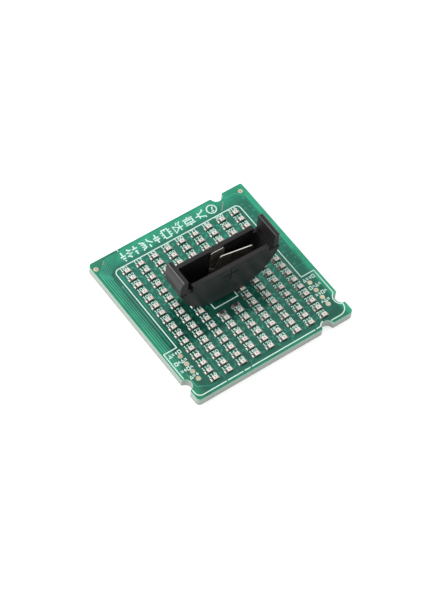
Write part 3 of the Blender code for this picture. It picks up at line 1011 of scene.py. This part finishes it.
def make_lamps():
    """Each lamp's base, lens and polarity mark, one object for each bank."""
    for node, places in LAMPS:
        low, high = (in_mm(c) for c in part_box(node))
        bm = bmesh.new()
        for x, y in places:
            lamp_base(bm, x, y, low[2] + 0.01)
            lamp_lens(bm, x, y, low[2] + 0.01, high[2])
            lamp_mark(bm, x, y, low[2] + 0.01)
        name = "lamps_" + node.removeprefix("lamp_bank_")
        looks = [LENS, SHADED_LAMP_SIDE, DIE, BASE, POLARITY_AND_HOLE_SHADE]
        finish_piece(name, bm, looks, replaces=(node,))


def solder_end(bm, x, y, way, foot, height, start, reach, width):
    """A tinned pad with a solder fillet that climbs a chip's end.

    way is 1 on the right and -1 on the left. width is half of the fillet's.
    """
    pad = rectangle(*sorted((x + way * 0.5, x + way * reach)), y - width - 0.03, y + width + 0.03, 0.05)
    loft(bm, [flat_loop(pad, foot - 0.01), flat_loop(pad, foot + 0.025)], [0])
    stations = []
    for share, rise in FILLET:
        sx = x + way * (start + (reach - 0.03 - start) * share)
        half = width * (1 - 0.12 * share)
        top = foot + 0.02 + height * rise
        side = foot + 0.02 + height * rise * 0.55
        crown = half * 0.6
        outline = ((-half, foot), (-half, side), (-crown, top), (crown, top), (half, side), (half, foot))
        stations.append([(sx, y + py, pz) for py, pz in outline])
    made = loft(bm, stations, [0, 0, 0])
    bmesh.ops.recalc_face_normals(bm, faces=made)


def terminal(bm, x, y, way, level):
    """The plated strip on top of a lamp's end."""
    strip = rectangle(*sorted((x + way * 0.66, x + way * 0.805)), y - 0.39, y + 0.39)
    loft(bm, [flat_loop(strip, level - 0.02), flat_loop(strip, level + 0.02)], [0])


def make_lamp_solder():
    """The solder and the plated ends of the lamps, one object for each column."""
    columns = {}
    for node, places in LAMPS:
        columns.setdefault(node.removeprefix("lamp_bank_")[0], []).extend(places)
    for column, places in columns.items():
        bm = bmesh.new()
        for x, y in places:
            for way in (-1, 1):
                height = BASE_HEIGHT + 0.06
                solder_end(bm, x, y, way, TOP, height, SOLDER_START, SOLDER_REACH, SOLDER_HALF)
                terminal(bm, x, y, way, TOP + 0.03 + BASE_HEIGHT)
        finish_piece(f"lamp_solder_{column}", bm, [SOLDER], smooth=40)


def make_resistors():
    """Two chip resistors: a ceramic body, a dark coat on top, and a plated cap with solder at each end."""
    ends = bmesh.new()
    for node in ("resistor_1", "resistor_2"):
        low, high = (in_mm(c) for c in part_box(node))
        x, y = (low[0] + high[0]) / 2, (low[1] + high[1]) / 2
        half, side, top = (high[0] - low[0]) / 2, (high[1] - low[1]) / 2, high[2]

        def around(inset_x, inset_y, chamfer=0.0):
            return rectangle(
                x - half + inset_x, x + half - inset_x, y - side + inset_y, y + side - inset_y, chamfer
            )

        bm = bmesh.new()
        body = around(0.02, 0.02)
        loft(bm, [flat_loop(body, low[2] + 0.02), flat_loop(body, top - 0.06)], [1], 1, 1)
        coat = around(0.3, 0.02, 0.04)
        coat_top = around(0.3 + COAT_SLOPE, 0.02 + COAT_SLOPE, 0.04)
        loft(bm, [flat_loop(coat, top - 0.08), flat_loop(coat, top - 0.03), flat_loop(coat_top, top)], [0, 0])
        name = node.replace("resistor", "chip_resistor")
        finish_piece(name, bm, [RESISTOR, CERAMIC], replaces=(node,))
        for way in (-1, 1):
            inner, outer = sorted((x + way * (half - CAP_LENGTH), x + way * half))
            cap = rectangle(inner, outer, y - side, y + side, 0.03)
            inner, outer = sorted((x + way * (half - CAP_LENGTH + 0.02), x + way * (half - 0.04)))
            cap_top = rectangle(inner, outer, y - side + 0.04, y + side - 0.04, 0.03)
            loft(ends, [flat_loop(cap, low[2]), flat_loop(cap, top - 0.03), flat_loop(cap_top, top)], [0, 0])
            solder_end(ends, x, y, way, TOP, top - TOP - 0.12, half - 0.03, half + 0.24, side - 0.04)
    finish_piece("resistor_solder", ends, [SOLDER], smooth=40)


# Holder and contacts


def make_holder():
    """The coin-cell holder, rounder at the tips of its posts than along its other edges."""
    bm = cad_bmesh("battery_holder")
    ease_edges(bm, POST_EASE, 3, 40, max(v.co.z for v in bm.verts) - POST_TIP)
    ease_edges(bm, HOLDER_EASE, 3, 40)
    holder = finish_piece(
        "holder_moulding", bm, [PLASTIC], replaces=("battery_holder",), smooth=60
    )
    flatten = holder.modifiers.new("flat_faces", "WEIGHTED_NORMAL")
    flatten.keep_sharp = True


def make_contacts():
    """Sheet-metal contacts: a painted highlight on the faces that look up, down to a depth below the crest,
    and painted shade on the other faces.
    """
    for node, name, body, depth in (
        ("negative_contact_plate", "negative_contact_sheet_plate", CARD, 1.0),
        ("positive_contact_plate", "positive_contact_sheet_plate", CARD, 1.0),
        ("negative_contact_leaf", "sprung_leaf", LEAF, 2.2),
    ):
        bm = cad_bmesh(node)
        ease_edges(bm, SHEET_EASE, 1, 40)
        bm.normal_update()
        crest = max(v.co.z for v in bm.verts) - depth
        for face in bm.faces:
            # Painted highlight on the faces that look up near the crest; the rest get the painted-shade copy.
            face.material_index = int(face.normal.z > 0.2 and face.calc_center_median().z > crest)
        finish_piece(name, bm, [SHADED_CONTACT, LIT_CONTACT_TOP], body, (node,), smooth=35)
    for node in ("negative_solder_joint", "positive_solder_joint"):
        bm = cad_bmesh(node)
        ease_edges(bm, DOT_EASE, 2, 40)
        finish_piece(node.replace("joint", "dot"), bm, [SOLDER], replaces=(node,), smooth=40)


# Stage


def make_floor():
    """A plain pale slab under the part."""
    bm = bmesh.new()
    slab = rectangle(-FLOOR_HALF, FLOOR_HALF, -FLOOR_HALF, FLOOR_HALF)
    loft(bm, [flat_loop(slab, z) for z in (FLOOR_LOW, FLOOR_HIGH)], [0])
    bmesh.ops.scale(bm, verts=bm.verts, vec=(MM,) * 3)
    data = bpy.data.meshes.new("floor")
    bm.to_mesh(data)
    bm.free()
    surface = Surface("pale_floor", 0.7, Emission_Color=(1.0, 1.0, 1.0, 1.0), Emission_Strength=FLOOR_GLOW)
    data.materials.append(surface.colour((FLOOR_GREY,) * 3).material)
    floor = bpy.data.objects.new("floor", data)
    bpy.context.scene.collection.objects.link(floor)


def view_axes(azimuth, elevation, roll):
    """Right, up and towards-the-viewer, for a camera or light at that azimuth and elevation."""
    a, e, r = (math.radians(v) for v in (azimuth, elevation, roll))
    towards = Vector((math.sin(a) * math.cos(e), -math.cos(a) * math.cos(e), math.sin(e)))
    level = Vector((math.cos(a), math.sin(a), 0))
    upright = towards.cross(level)
    right = level * math.cos(r) + upright * math.sin(r)
    up = upright * math.cos(r) - level * math.sin(r)
    return right, up, towards


def stand(thing, place, right, up, towards):
    """Puts a camera or light into the scene at a place in millimetres."""
    bpy.context.scene.collection.objects.link(thing)
    turn = Matrix((right, up, towards)).transposed().to_4x4()
    thing.matrix_world = Matrix.Translation(place * MM) @ turn


def make_camera():
    """The photo's view."""
    right, up, towards = view_axes(CAMERA_AZIMUTH, CAMERA_ELEVATION, CAMERA_ROLL)
    data = bpy.data.cameras.new("camera")
    data.lens = CAMERA_LENS
    data.clip_start, data.clip_end = 0.01, 10.0
    camera = bpy.data.objects.new("camera", data)
    stand(camera, Vector(CAMERA_AIM) + towards * CAMERA_DISTANCE, right, up, towards)
    bpy.context.scene.camera = camera


def make_lighting():
    """An even white sky and one soft key light, low on the left."""
    world = bpy.data.worlds.new("studio")
    world.use_nodes = True
    sky = world.node_tree.nodes["Background"]
    sky.inputs["Color"].default_value = (1.0, 1.0, 1.0, 1.0)
    sky.inputs["Strength"].default_value = SKY_STRENGTH
    bpy.context.scene.world = world
    right, up, towards = view_axes(KEY_AZIMUTH, KEY_ELEVATION, 0)
    data = bpy.data.lights.new("key", "AREA")
    data.size = KEY_SIZE * MM
    data.energy = KEY_POWER
    light = bpy.data.objects.new("key", data)
    stand(light, towards * KEY_DISTANCE, right, up, towards)
    bpy.context.scene.view_settings.view_transform = "Standard"


make_camera()
make_lighting()
make_floor()
make_board_core()
make_mask("mask_top", 1, TOP)
make_mask("mask_underside", -1, LAND_THICK)
make_copper()
make_print()
make_pads()
make_lands()
make_lamps()
make_lamp_solder()
make_resistors()
make_holder()
make_contacts()
